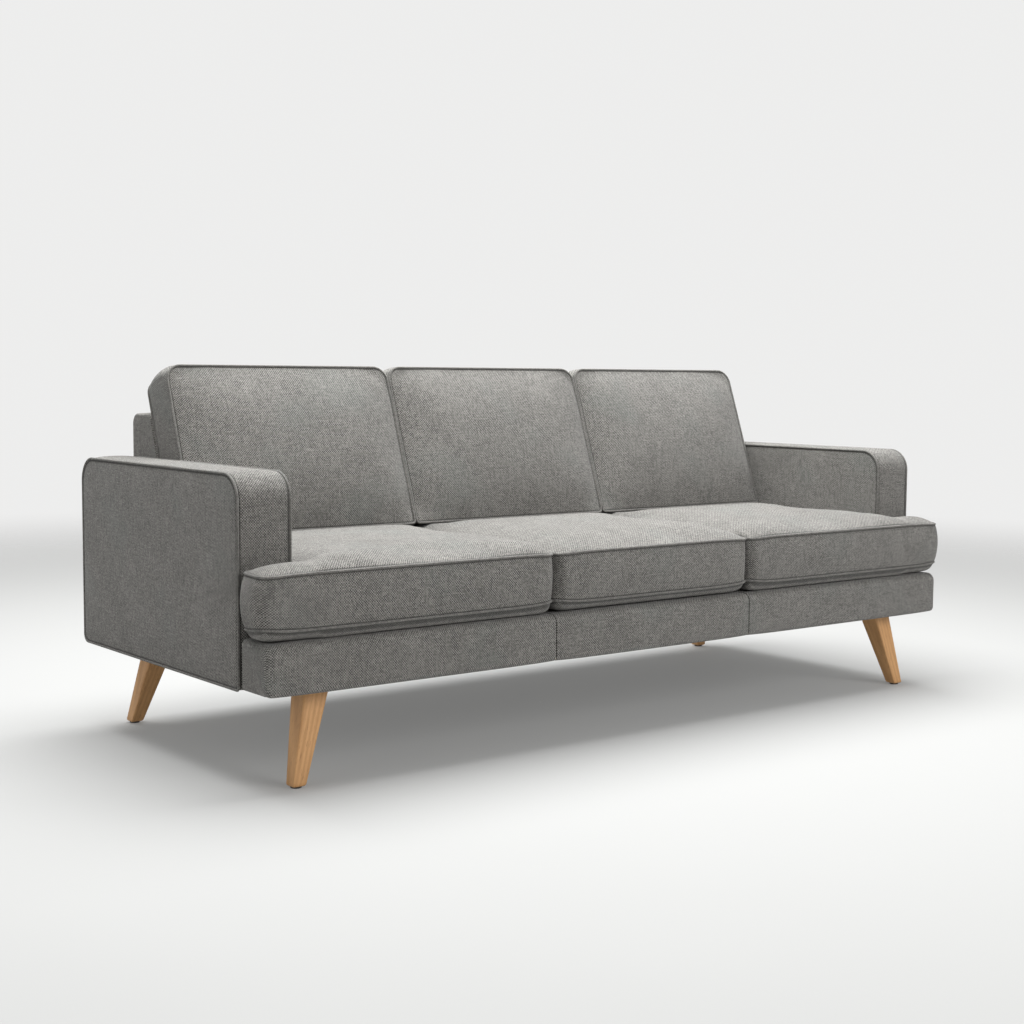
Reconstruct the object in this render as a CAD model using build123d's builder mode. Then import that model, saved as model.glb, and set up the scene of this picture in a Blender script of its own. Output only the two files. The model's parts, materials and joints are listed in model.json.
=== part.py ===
from build123d import *
import os
from math import cos, radians, sin, tan

# Three-seat sofa on splayed oak legs, in millimetres.
# X runs across the sofa, Y from the front rail to the back, Z up from the floor.
# The origin is on the floor under the middle of the sofa. Left is -X, as seen from the front.

os.makedirs("parts", exist_ok=True)

# Overall sizes
overall_width = 2120
overall_depth = 888
leg_height = 205  # floor to the underside of the upholstery
arm_height = 650  # floor to the top of the arms
back_height = 754  # floor to the top of the upholstered back frame

# Upholstered shapes
arm_width = 121
arm_setback = 115  # front rail's face to the arms' fronts
arm_top_radius = 55
arm_foot_radius = 18
rail_height = 106
rail_end_inset = 8  # the rail stops short of the arms' outer faces
rail_top_radius = 20
back_inset = 14  # arms' rear faces to the back's rear face
back_edge_radius = 24
rake = 19.8  # lean of the back, degrees from upright

# Cushions
seat_thickness = 162
back_room = 326  # depth kept for the back, behind the foot of the back cushions
sitting_depth = overall_depth - back_room
seat_corner_radius = 26
seat_edge_radius = 18
ear_gap = 20  # between a seat cushion's ear and the arm behind it
back_cushion_length = 424  # along the rake
back_cushion_thickness = 108
back_cushion_crown = 12
back_cushion_side_gap = 8
back_corner_radius = 24
back_edge_roll = 14
cushion_cover = 2
soft_gap = 1  # air between a cushion and whatever it lies against

# Layers of the upholstery
cover = 3
foam = 12
staple_strip = 25  # cover turned under the front rail
deck_cloth_thickness = 3
dust_cloth = 1

# Timber
board = 25
panel = 9
side_rail_height = 47
leg_block_width = 130
leg_block_depth = 110
cross_rail_height = 34
arm_sill_height = 80
arm_post_lap = 10  # post's width beyond the curve of the arm's corners
back_rail_height = 60
strap_width = 50
strap_thickness = 2
strap_places = (0.2, 0.5, 0.8)  # shares of the way up the back

# Legs and hardware
leg_top = 60
leg_foot = 31
leg_edge_radius = 5
leg_splay_x = 56
leg_splay_y = 34
leg_plate = 64
leg_plate_thickness = 3
leg_plate_margin = 3
leg_setback = 20  # front board to the leg plate
glide_height = 4
glide_radius = 12
glide_pin_radius = 1.5
glide_pin_length = 14
bolt_radius = 4
bolt_in_leg = 45
bolt_above_plate = 32
boss_radius = 7
boss_height = 14
screw_radius = 2
screw_length = 24
screw_head_radius = 4
screw_spacing = 46
arm_bolt_head_radius = 8
arm_bolt_head = 6
arm_bolt_grip = 40  # bolt inside the arm frame
arm_bolt_places = (0.2, 0.5, 0.8)  # shares of the way from the front spring rail to the rear one
washer_radius = 11
washer_thickness = 2
spring_wire = 4
spring_half_width = 28
spring_pitch = 46
spring_bend = 15
spring_float = 0.3  # air round the wire where it crosses the rails and clips
springs_per_seat = 3
clip_width = 20
clip_depth = 16
clip_sheet = 1.5
through = 200  # a cutter that passes right through

# Places worked out from the sizes above
half_width = overall_width / 2
front_y = -overall_depth / 2
rear_y = overall_depth / 2
skin = cover + foam
arm_inner_x = half_width - arm_width
arm_front_y = front_y + arm_setback
rail_half = half_width - rail_end_inset
rail_rear_y = arm_front_y - soft_gap
rail_top_z = leg_height + rail_height
seat_bottom_z = rail_top_z + soft_gap
seat_top_z = seat_bottom_z + seat_thickness
seat_split_x = arm_inner_x / 3
foot_y = front_y + sitting_depth
back_front_y = foot_y + back_cushion_thickness / cos(radians(rake)) + soft_gap
back_rear_y = rear_y - back_inset
back_half = arm_inner_x - soft_gap
deck_rear_y = back_front_y - soft_gap

plate_z = leg_height + dust_cloth
timber_z = plate_z + leg_plate_thickness
timber_top_z = rail_top_z - skin
side_rail_z = timber_top_z - side_rail_height
front_board_rear_y = front_y + skin + board
rear_board_front_y = back_rear_y - skin - strap_thickness - board
spring_rail_front_y = arm_front_y
spring_rail_rear_y = back_front_y + skin
spring_z = timber_top_z + spring_float + spring_wire / 2
clip_height = spring_wire + 2 * spring_float + clip_sheet
arm_bolt_z = side_rail_z + side_rail_height / 2

leg_x = arm_inner_x - leg_plate_margin - leg_plate / 2
leg_front_y = front_board_rear_y + leg_setback + leg_plate / 2
leg_rear_y = rear_board_front_y - leg_plate / 2
leg_spots = {
    "front_left": (-leg_x, leg_front_y),
    "front_right": (leg_x, leg_front_y),
    "rear_left": (-leg_x, leg_rear_y),
    "rear_right": (leg_x, leg_rear_y),
}
sides = {"left": -1, "right": 1}


def save(part, name):
    part.label = name
    export_step(part, f"parts/{name}.step")


def block(low, high, mode=Mode.ADD):
    """A box between two opposite corners, whichever way round they are given."""
    size = [abs(b - a) for a, b in zip(low, high)]
    with Locations(tuple((a + b) / 2 for a, b in zip(low, high))):
        Box(*size, mode=mode)


def rounded_outline(points, radii):
    """A closed outline of straight runs with rounded corners."""
    with BuildLine() as outline:
        FilletPolyline(*points, radius=radii, close=True)
    make_face(outline.edges())


# Legs: tapered square oak, splayed out sideways and lengthwise

for place, (top_x, top_y) in leg_spots.items():
    out_x = leg_splay_x if top_x > 0 else -leg_splay_x
    out_y = leg_splay_y if top_y > 0 else -leg_splay_y
    with BuildPart() as leg:
        with BuildSketch(Plane.XY.offset(glide_height)):
            with Locations((top_x + out_x, top_y + out_y)):
                RectangleRounded(leg_foot, leg_foot, leg_edge_radius)
        with BuildSketch(Plane.XY.offset(leg_height)):
            with Locations((top_x, top_y)):
                RectangleRounded(leg_top, leg_top, leg_edge_radius)
        loft(ruled=True)
        with Locations((top_x, top_y, leg_height - bolt_in_leg / 2)):
            Cylinder(bolt_radius, bolt_in_leg, mode=Mode.SUBTRACT)
        with Locations((top_x + out_x, top_y + out_y, glide_height + glide_pin_length / 2)):
            Cylinder(glide_pin_radius, glide_pin_length, mode=Mode.SUBTRACT)
    save(leg.part, f"leg_{place}")

feet = [
    (x + (leg_splay_x if x > 0 else -leg_splay_x), y + (leg_splay_y if y > 0 else -leg_splay_y))
    for x, y in leg_spots.values()
]
with BuildPart() as leg_glides:
    with BuildSketch():
        with Locations(*feet):
            Circle(glide_radius)
    extrude(amount=glide_height)
    chamfer(leg_glides.faces().sort_by(Axis.Z)[:4].edges(), glide_height / 4)
    with BuildSketch(Plane.XY.offset(glide_height)):
        with Locations(*feet):
            Circle(glide_pin_radius)
    extrude(amount=glide_pin_length)
save(leg_glides.part, "leg_glides")

# Leg hardware: a steel plate with a threaded boss, its screws, and a hanger bolt in each leg

with BuildPart() as leg_plates:
    with BuildSketch(Plane.XY.offset(plate_z)):
        with Locations(*leg_spots.values()):
            RectangleRounded(leg_plate, leg_plate, leg_edge_radius)
    extrude(amount=leg_plate_thickness)
    with BuildSketch(Plane.XY.offset(timber_z)):
        with Locations(*leg_spots.values()):
            Circle(boss_radius)
    extrude(amount=boss_height)
    with Locations(*[(x, y, plate_z) for x, y in leg_spots.values()]):
        Cylinder(bolt_radius, through, mode=Mode.SUBTRACT)
        with GridLocations(screw_spacing, screw_spacing, 2, 2):
            Cylinder(screw_radius, through, mode=Mode.SUBTRACT)
            with Locations((0, 0, leg_plate_thickness / 2)):
                Cone(
                    screw_head_radius, screw_radius, leg_plate_thickness, mode=Mode.SUBTRACT
                )
save(leg_plates.part, "leg_plates")

with BuildPart() as plate_screws:
    with Locations(*[(x, y, plate_z) for x, y in leg_spots.values()]):
        with GridLocations(screw_spacing, screw_spacing, 2, 2):
            with Locations((0, 0, leg_plate_thickness / 2)):
                Cone(screw_head_radius, screw_radius, leg_plate_thickness)
            with Locations((0, 0, leg_plate_thickness + screw_length / 2)):
                Cylinder(screw_radius, screw_length)
save(plate_screws.part, "plate_screws")

with BuildPart() as hanger_bolts:
    bolt_low = leg_height - bolt_in_leg
    bolt_length = timber_z + bolt_above_plate - bolt_low
    with Locations(*[(x, y, bolt_low + bolt_length / 2) for x, y in leg_spots.values()]):
        Cylinder(bolt_radius, bolt_length)
save(hanger_bolts.part, "hanger_bolts")

with BuildPart() as leg_blocks:
    for x, y in leg_spots.values():
        side = 1 if x > 0 else -1
        near_y = front_board_rear_y if y < 0 else rear_board_front_y
        far_y = near_y + (leg_block_depth if y < 0 else -leg_block_depth)
        block(
            (side * back_half, near_y, timber_z),
            (side * (back_half - leg_block_width), far_y, side_rail_z),
        )
    # Each cutter is centred on the blocks' undersides, so that half of it reaches in.
    with Locations(*[(x, y, timber_z) for x, y in leg_spots.values()]):
        Cylinder(boss_radius, 2 * boss_height, mode=Mode.SUBTRACT)
        Cylinder(bolt_radius, 2 * bolt_above_plate, mode=Mode.SUBTRACT)
        with GridLocations(screw_spacing, screw_spacing, 2, 2):
            Cylinder(screw_radius, 2 * screw_length, mode=Mode.SUBTRACT)
save(leg_blocks.part, "leg_blocks")

# Seat box: boards on edge, glued and screwed

with BuildPart() as front_board:
    block(
        (-(rail_half - skin), front_y + skin, timber_z),
        (rail_half - skin, front_board_rear_y, timber_top_z),
    )
save(front_board.part, "front_rail_board")

with BuildPart() as front_rail_ends:
    for side in sides.values():
        block(
            (side * (rail_half - skin), front_board_rear_y, timber_z),
            (side * (rail_half - skin - board), rail_rear_y - cover, timber_top_z),
        )
save(front_rail_ends.part, "front_rail_ends")

with BuildPart() as rear_board:
    block(
        (-back_half, rear_board_front_y, timber_z),
        (back_half, rear_board_front_y + board, timber_top_z),
    )
save(rear_board.part, "rear_rail_board")

bolt_ys = [
    spring_rail_front_y + share * (spring_rail_rear_y - spring_rail_front_y)
    for share in arm_bolt_places
]


def arm_bolt_holes(side, radius=bolt_radius):
    """Three bores along X, through whatever the arm bolts pass."""
    length = 2 * (board + skin + panel + arm_bolt_grip)
    with Locations(*[(side * arm_inner_x, y, arm_bolt_z) for y in bolt_ys]):
        Cylinder(radius, length, rotation=(0, 90, 0), mode=Mode.SUBTRACT)


for name, side in sides.items():
    with BuildPart() as side_rail:
        block(
            (side * (back_half - board), front_board_rear_y, side_rail_z),
            (side * back_half, rear_board_front_y, timber_top_z),
        )
        arm_bolt_holes(side)
    save(side_rail.part, f"side_rail_{name}")

with BuildPart() as front_spring_rail:
    block(
        (-(back_half - board), spring_rail_front_y, side_rail_z),
        (back_half - board, spring_rail_front_y + board, timber_top_z),
    )
save(front_spring_rail.part, "front_spring_rail")

with BuildPart() as rear_spring_rail:
    block(
        (-(back_half - board), spring_rail_rear_y, side_rail_z),
        (back_half - board, spring_rail_rear_y + board, timber_top_z),
    )
save(rear_spring_rail.part, "rear_spring_rail")

with BuildPart() as cross_rails:
    for side in sides.values():
        block(
            (side * seat_split_x - board / 2, front_board_rear_y, side_rail_z - cross_rail_height),
            (side * seat_split_x + board / 2, rear_board_front_y, side_rail_z),
        )
save(cross_rails.part, "cross_rails")

# Sinuous seat springs: steel wire bent to and fro, held by clips on the two spring rails

spring_start_y = spring_rail_front_y + board / 2
spring_run = spring_rail_rear_y - spring_rail_front_y
spring_turns = 2 * round(spring_run / spring_pitch / 2)
spring_step = spring_run / spring_turns
spring_xs = [
    2 * seat_split_x * seat + (place - (springs_per_seat - 1) / 2) * 2 * seat_split_x / springs_per_seat
    for seat in (-1, 0, 1)
    for place in range(springs_per_seat)
]
zigzag = []
for turn in range(spring_turns + 1):
    y = spring_start_y + turn * spring_step
    reach = spring_half_width if turn % 2 else -spring_half_width
    zigzag += [(reach, y, spring_z), (-reach, y, spring_z)]

with BuildPart() as spring:
    with BuildLine() as wire:
        FilletPolyline(*zigzag, radius=spring_bend)
    with BuildSketch(Plane(origin=zigzag[0], z_dir=(1, 0, 0))):
        Circle(spring_wire / 2)
    sweep(path=wire.wires()[0])

with BuildPart() as seat_springs:
    with Locations(*[(x, 0, 0) for x in spring_xs]):
        add(spring.part)
save(seat_springs.part, "seat_springs")

with BuildPart() as spring_clips:
    for y in (spring_start_y, spring_start_y + spring_run):
        with Locations(*[(x, y, timber_top_z + clip_height / 2) for x in spring_xs]):
            Box(clip_width, clip_depth, clip_height)
        with Locations(*[(x, y, spring_z) for x in spring_xs]):
            Box(
                2 * clip_width,
                clip_depth - 2 * clip_sheet,
                spring_wire + 2 * spring_float,
                mode=Mode.SUBTRACT,
            )
save(spring_clips.part, "spring_clips")

# Deck over the springs, and the dust cloth under the seat box

deck_top_z = rail_top_z
with BuildPart() as deck_cloth:
    block(
        (-back_half, rail_rear_y, deck_top_z - deck_cloth_thickness),
        (back_half, deck_rear_y, deck_top_z),
    )
save(deck_cloth.part, "deck_cloth")

with BuildPart() as deck_pad:
    block(
        (-back_half, rail_rear_y, timber_top_z + clip_height),
        (back_half, deck_rear_y, deck_top_z - deck_cloth_thickness),
    )
save(deck_pad.part, "deck_pad")

with BuildPart() as dust_cover:
    block(
        (-(rail_half - cover), front_y + staple_strip, leg_height),
        (rail_half - cover, rail_rear_y, leg_height + dust_cloth),
    )
    block(
        (-back_half, rail_rear_y, leg_height),
        (back_half, back_rear_y - cover, leg_height + dust_cloth),
    )
    with Locations(*[(x, y, leg_height) for x, y in leg_spots.values()]):
        Cylinder(bolt_radius, through, mode=Mode.SUBTRACT)
save(dust_cover.part, "dust_cover")

# Front rail upholstery: foam over the board, and the cover wrapped round and stapled under

with BuildPart() as rail_foam:
    with BuildSketch(Plane.YZ.offset(-(rail_half - foam))):
        rounded_outline(
            [
                (front_y + cover, timber_z),
                (front_y + cover, rail_top_z - cover),
                (rail_rear_y, rail_top_z - cover),
                (rail_rear_y, timber_top_z),
                (front_y + skin, timber_top_z),
                (front_y + skin, timber_z),
            ],
            [0, rail_top_radius - cover, 0, 0, 0, 0],
        )
    extrude(amount=2 * (rail_half - foam))
save(rail_foam.part, "front_rail_foam")

with BuildPart() as rail_cover:
    with BuildSketch(Plane.YZ.offset(-rail_half)):
        rounded_outline(
            [
                (front_y, leg_height),
                (front_y, rail_top_z),
                (rail_rear_y, rail_top_z),
                (rail_rear_y, leg_height),
            ],
            [cover, rail_top_radius, 0, 0],
        )
    extrude(amount=2 * rail_half)
    with BuildSketch(Plane.YZ.offset(-(rail_half - cover))):
        rounded_outline(
            [
                (front_y + staple_strip, leg_height - cover),
                (front_y + staple_strip, leg_height + cover),
                (front_y + cover, leg_height + cover),
                (front_y + cover, rail_top_z - cover),
                (arm_front_y + cover, rail_top_z - cover),
                (arm_front_y + cover, leg_height - cover),
            ],
            [0, 0, 0, rail_top_radius - cover, 0, 0],
        )
    extrude(amount=2 * (rail_half - cover), mode=Mode.SUBTRACT)
save(rail_cover.part, "front_rail_cover")

# Arms: a glued frame between two panels, foam all round, and a sewn cover


def arm_outline(inset):
    """Side view of an arm, with generous top corners, drawn inside its cover by inset."""
    foot_radius = max(cover, arm_foot_radius - inset)
    rounded_outline(
        [
            (arm_front_y + inset, leg_height + inset),
            (arm_front_y + inset, arm_height - inset),
            (rear_y - inset, arm_height - inset),
            (rear_y - inset, leg_height + inset),
        ],
        [foot_radius, arm_top_radius - inset, arm_top_radius - inset, foot_radius],
    )


post_width = arm_top_radius - skin + arm_post_lap
arm_low_y, arm_high_y = arm_front_y + skin, rear_y - skin
arm_low_z, arm_high_z = leg_height + skin, arm_height - skin
for name, side in sides.items():
    near_x = side * (arm_inner_x + skin)
    far_x = side * (half_width - skin)

    with BuildPart() as arm_cover:
        with BuildSketch(Plane.YZ.offset(side * arm_inner_x)):
            arm_outline(0)
        extrude(amount=side * arm_width)
        with BuildSketch(Plane.YZ.offset(side * (arm_inner_x + cover))):
            arm_outline(cover)
        extrude(amount=side * (arm_width - 2 * cover), mode=Mode.SUBTRACT)
        arm_bolt_holes(side)
    save(arm_cover.part, f"arm_cover_{name}")

    with BuildPart() as arm_foam:
        with BuildSketch(Plane.YZ.offset(side * (arm_inner_x + cover))):
            arm_outline(cover)
        extrude(amount=side * (arm_width - 2 * cover))
        with BuildSketch(Plane.YZ.offset(near_x)):
            arm_outline(skin)
        extrude(amount=far_x - near_x, mode=Mode.SUBTRACT)
        arm_bolt_holes(side)
    save(arm_foam.part, f"arm_foam_{name}")

    with BuildPart() as arm_panels:
        with BuildSketch(Plane.YZ.offset(near_x)):
            arm_outline(skin)
        extrude(amount=side * panel)
        with BuildSketch(Plane.YZ.offset(far_x)):
            arm_outline(skin)
        extrude(amount=-side * panel)
        arm_bolt_holes(side)
    save(arm_panels.part, f"arm_panels_{name}")

    with BuildPart() as arm_frame:
        low_x, high_x = near_x + side * panel, far_x - side * panel
        post_top = arm_high_z - (arm_top_radius - skin)
        sill_low = arm_low_z + cover
        for y in (arm_low_y, arm_high_y - post_width):
            block((low_x, y, sill_low), (high_x, y + post_width, post_top))
        block((low_x, arm_low_y, sill_low), (high_x, arm_high_y, arm_low_z + arm_sill_height))
        block(
            (low_x, arm_low_y + post_width - arm_post_lap, post_top),
            (high_x, arm_high_y - post_width + arm_post_lap, arm_high_z),
        )
        arm_bolt_holes(side)
    save(arm_frame.part, f"arm_frame_{name}")

with BuildPart() as arm_bolts:
    shank = arm_inner_x + skin + panel + arm_bolt_grip - (back_half - board)
    for side in sides.values():
        inner_x = back_half - board - washer_thickness
        length = shank + washer_thickness
        with Locations(*[(side * (inner_x + length / 2), y, arm_bolt_z) for y in bolt_ys]):
            Cylinder(bolt_radius, length, rotation=(0, 90, 0))
        with BuildSketch(Plane.YZ.offset(side * inner_x)):
            with Locations(*[(y, arm_bolt_z) for y in bolt_ys]):
                RegularPolygon(arm_bolt_head_radius, 6)
        extrude(amount=-side * arm_bolt_head)
save(arm_bolts.part, "arm_bolts")

with BuildPart() as arm_washers:
    for side in sides.values():
        with Locations(
            *[(side * (back_half - board - washer_thickness / 2), y, arm_bolt_z) for y in bolt_ys]
        ):
            Cylinder(washer_radius, washer_thickness, rotation=(0, 90, 0))
            Cylinder(bolt_radius, 2 * washer_thickness, rotation=(0, 90, 0), mode=Mode.SUBTRACT)
save(arm_washers.part, "arm_washers")

# Back: raked posts and rails, webbing across their fronts, foam, and a cover


def back_outline(inset, floor_z):
    """Side view of the back: upright behind, raked in front above the seat."""
    lean = tan(radians(rake))
    along = inset / cos(radians(rake))
    top_z = back_height - inset
    knee_z = seat_top_z + (inset - along) / lean
    radius = back_edge_radius - inset if inset < back_edge_radius else 1
    rounded_outline(
        [
            (back_rear_y - inset, floor_z),
            (back_rear_y - inset, top_z),
            (back_front_y + (top_z - seat_top_z) * lean + along, top_z),
            (back_front_y + inset, knee_z),
            (back_front_y + inset, floor_z),
        ],
        [0, radius, radius, 0, 0],
    )


with BuildPart() as back_cover:
    with BuildSketch(Plane.YZ.offset(-back_half)):
        back_outline(0, seat_bottom_z)
    extrude(amount=2 * back_half)
    with BuildSketch(Plane.YZ.offset(-(back_half - cover))):
        back_outline(cover, leg_height)
    extrude(amount=2 * (back_half - cover), mode=Mode.SUBTRACT)
    block((-back_half, back_rear_y - cover, leg_height), (back_half, back_rear_y, seat_bottom_z))
save(back_cover.part, "back_cover")

with BuildPart() as back_foam:
    with BuildSketch(Plane.YZ.offset(-(back_half - cover))):
        back_outline(cover, seat_bottom_z)
    extrude(amount=2 * (back_half - cover))
    with BuildSketch(Plane.YZ.offset(-back_half)):
        back_outline(skin, leg_height)
    extrude(amount=2 * back_half, mode=Mode.SUBTRACT)
save(back_foam.part, "back_foam")

timber_inset = skin + strap_thickness
post_xs = [
    -(back_half - cover - board / 2),
    -seat_split_x,
    seat_split_x,
    back_half - cover - board / 2,
]
with BuildPart() as back_posts:
    for x in post_xs:
        with BuildSketch(Plane.YZ.offset(x - board / 2)):
            back_outline(timber_inset, timber_top_z)
        extrude(amount=board)
save(back_posts.part, "back_posts")

rail_face_y = back_rear_y - timber_inset
with BuildPart() as back_rails:
    for left_x, right_x in zip(post_xs, post_xs[1:]):
        for top_z in (back_height - timber_inset - cover, seat_top_z + back_rail_height / 2):
            block(
                (left_x + board / 2, rail_face_y - board, top_z - back_rail_height),
                (right_x - board / 2, rail_face_y, top_z),
            )
save(back_rails.part, "back_rails")

strap_room = (back_height - seat_top_z) / cos(radians(rake)) - back_edge_radius - skin
strap_plane = Plane(
    origin=(0, back_front_y, seat_top_z),
    x_dir=(1, 0, 0),
    z_dir=(0, -cos(radians(rake)), sin(radians(rake))),
)
with BuildPart() as back_webbing:
    with BuildSketch(strap_plane.offset(-skin)):
        with Locations(*[(0, strap_room * share) for share in strap_places]):
            Rectangle(2 * (back_half - cover), strap_width)
    extrude(amount=-strap_thickness)
save(back_webbing.part, "back_webbing")

# Seat cushions: the outer two wrap round the arms' fronts in an ear, the middle one is plain


def seat_outline(side, inset):
    """Plan of a seat cushion, drawn inside its cover by inset."""
    turn = seat_corner_radius - inset
    near_x = seat_split_x + soft_gap + inset
    front, rear = front_y + inset, deck_rear_y - soft_gap - inset
    if side == 0:
        half = seat_split_x - soft_gap - inset
        rounded_outline([(-half, front), (half, front), (half, rear), (-half, rear)], [turn] * 4)
        return
    ear_y = arm_front_y - ear_gap - inset
    main_x = arm_inner_x - 2 * soft_gap - inset
    rounded_outline(
        [
            (side * near_x, front),
            (side * (half_width - inset), front),
            (side * (half_width - inset), ear_y),
            (side * main_x, ear_y),
            (side * main_x, rear),
            (side * near_x, rear),
        ],
        [turn, turn, turn, seat_edge_radius / 2 + inset, turn, turn],
    )


def seat_body(side, inset, mode=Mode.ADD):
    """A seat cushion's rounded block, drawn inside its cover by inset."""
    with BuildPart(mode=Mode.PRIVATE) as body:
        with BuildSketch(Plane.XY.offset(seat_bottom_z + inset)):
            seat_outline(side, inset)
        extrude(amount=seat_thickness - 2 * inset)
        rims = body.faces().filter_by(Axis.Z).edges()
        fillet(rims, seat_edge_radius - inset)
    add(body.part, mode=mode)


for name, side in {"left": -1, "middle": 0, "right": 1}.items():
    with BuildPart() as seat_cover:
        seat_body(side, 0)
        seat_body(side, cushion_cover, Mode.SUBTRACT)
    save(seat_cover.part, f"seat_cushion_cover_{name}")

    with BuildPart() as seat_core:
        seat_body(side, cushion_cover)
    save(seat_core.part, f"seat_cushion_core_{name}")

# Back cushions: raked blocks that stand on the seat and lean on the back


def raked(along, across):
    """A point so far up the rake from the cushions' foot, and so far behind their front."""
    lean = radians(rake)
    return (
        foot_y + along * sin(lean) + across * cos(lean),
        seat_top_z + along * cos(lean) - across * sin(lean),
    )


def raked_at(height, across):
    """The point at a height above the seat, so far behind the cushions' front."""
    lean = radians(rake)
    return raked((height + across * sin(lean)) / cos(lean), across)


def back_body(low_x, high_x, inset, mode=Mode.ADD):
    """A back cushion's rounded block, drawn inside its cover by inset."""
    front, behind = inset - back_cushion_crown, back_cushion_thickness - inset
    with BuildPart(mode=Mode.PRIVATE) as body:
        with BuildSketch(Plane.YZ.offset(low_x + inset)):
            rounded_outline(
                [
                    raked_at(soft_gap + inset, front),
                    raked(back_cushion_length - inset, front),
                    raked(back_cushion_length - inset, behind),
                    raked_at(soft_gap + inset, behind),
                ],
                [back_corner_radius - inset] * 4,
            )
        extrude(amount=high_x - low_x - 2 * inset)
        rims = body.faces().filter_by(Axis.X).edges()
        fillet(rims, back_edge_roll - inset)
    add(body.part, mode=mode)


back_cushions = {
    "left": (-(arm_inner_x - back_cushion_side_gap), -(seat_split_x + soft_gap)),
    "middle": (-(seat_split_x - soft_gap), seat_split_x - soft_gap),
    "right": (seat_split_x + soft_gap, arm_inner_x - back_cushion_side_gap),
}
for name, (low_x, high_x) in back_cushions.items():
    with BuildPart() as cushion_cover_part:
        back_body(low_x, high_x, 0)
        back_body(low_x, high_x, cushion_cover, Mode.SUBTRACT)
    save(cushion_cover_part.part, f"back_cushion_cover_{name}")

    with BuildPart() as cushion_filling:
        back_body(low_x, high_x, cushion_cover)
    save(cushion_filling.part, f"back_cushion_filling_{name}")
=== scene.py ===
import json

import bmesh
import bpy
import numpy as np
from mathutils import Matrix, Vector


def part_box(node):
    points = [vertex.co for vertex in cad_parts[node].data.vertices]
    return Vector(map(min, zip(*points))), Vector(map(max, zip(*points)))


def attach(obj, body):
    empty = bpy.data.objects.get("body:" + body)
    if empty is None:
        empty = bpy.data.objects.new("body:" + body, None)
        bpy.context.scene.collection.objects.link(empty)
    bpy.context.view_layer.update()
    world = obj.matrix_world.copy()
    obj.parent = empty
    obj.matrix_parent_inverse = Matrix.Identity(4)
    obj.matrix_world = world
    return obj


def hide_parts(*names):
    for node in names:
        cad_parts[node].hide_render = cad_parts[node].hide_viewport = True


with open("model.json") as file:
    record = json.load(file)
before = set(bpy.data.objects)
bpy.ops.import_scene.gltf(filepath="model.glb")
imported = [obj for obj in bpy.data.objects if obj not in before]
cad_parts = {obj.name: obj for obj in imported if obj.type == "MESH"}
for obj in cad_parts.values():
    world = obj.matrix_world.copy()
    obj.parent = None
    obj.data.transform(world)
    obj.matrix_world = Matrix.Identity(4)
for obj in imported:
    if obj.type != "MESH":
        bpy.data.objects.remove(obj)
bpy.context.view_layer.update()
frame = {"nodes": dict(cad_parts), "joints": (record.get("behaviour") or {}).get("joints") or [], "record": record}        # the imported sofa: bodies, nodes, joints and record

mm = 0.001


# Shader helpers

class Value:
    # One output of a node. Arithmetic on it adds Math nodes to the same tree.
    def __init__(self, shade, socket):
        self.shade, self.socket = shade, socket

    def math(self, operation, *others):
        # One Math node on this value and the others.
        values = dict(enumerate((self,) + others))
        return self.shade.node("Math", {"operation": operation}, values)

    def __add__(self, other):
        return self.math("ADD", other)

    def __sub__(self, other):
        return self.math("SUBTRACT", other)

    def __rsub__(self, other):
        return self.shade.node("Math", {"operation": "SUBTRACT"}, {0: other, 1: self})

    def __mul__(self, other):
        return self.math("MULTIPLY", other)

    __radd__, __rmul__ = __add__, __mul__


class Shade:
    # A new material with its Principled shader. The node method adds any other node.
    def __init__(self, name, **constants):
        self.material = bpy.data.materials.new(name)
        self.material.use_nodes = True
        self.tree = self.material.node_tree
        self.shader = self.tree.nodes["Principled BSDF"]
        for socket, value in constants.items():
            self.feed(self.shader.inputs[socket.replace("_", " ")], value)

    def feed(self, socket, value):
        # A link for a value worked out by nodes, and otherwise a constant.
        if isinstance(value, Value):
            self.tree.links.new(value.socket, socket)
        else:
            socket.default_value = value

    def node(self, kind, settings=None, values=None, out=0):
        made = self.tree.nodes.new("ShaderNode" + kind)
        for name, setting in (settings or {}).items():
            setattr(made, name, setting)
        for socket, value in (values or {}).items():
            self.feed(made.inputs[socket], value)
        return Value(self, made.outputs[out])

    def also(self, value, out):
        # Another output of the same node.
        return Value(self, value.socket.node.outputs[out])

    def noise(self, vector, scale, detail=2.0, roughness=0.5):
        return self.node("TexNoise", None, {
            "Vector": vector, "Scale": scale, "Detail": detail, "Roughness": roughness})

    def mix(self, share, first, second):
        return self.node("Mix", {"data_type": "RGBA"}, {0: share, 6: first, 7: second}, 2)

    def ramp(self, value, low, high):
        # 0 below low and 1 above high, with t*t*(3 - 2t) between.
        return self.node("MapRange", {"interpolation_type": "SMOOTHSTEP"}, {
            "Value": value, "From Min": low, "From Max": high})

    def stretch(self, vector, scale, turn=(0, 0, 0)):
        return self.node("Mapping", None, {"Vector": vector, "Scale": scale, "Rotation": turn})

    def finish(self, colour, roughness, height=None, depth=0.5 * mm, strength=0.6):
        # Joins the colour, the roughness and a bump of this depth to the shader.
        self.feed(self.shader.inputs["Base Color"], colour)
        self.feed(self.shader.inputs["Roughness"], roughness)
        if height is not None:
            bump = self.node("Bump", None, {"Strength": strength, "Distance": depth, "Height": height})
            self.feed(self.shader.inputs["Normal"], bump)
        return self.material


fabric = {
    "dark": (0.034, 0.032, 0.029, 1),
    "light": (0.319, 0.307, 0.286, 1),
    "shadow": (0.020, 0.019, 0.017, 1),
    "cool": (0.150, 0.170, 0.158, 1),
    "cell": 2.9 * mm,
    "pipingCell": 1.9 * mm,
    "weaveDepth": 0.9 * mm,
    "chequer": 0.66,
    "fleck": 0.45,
    "streak": 0.9,
    "cloud": 0.28,
    "lift": 0.13,
    # how dark the painted shade along the seams is
    "seamShade": 0.62,
}


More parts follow.
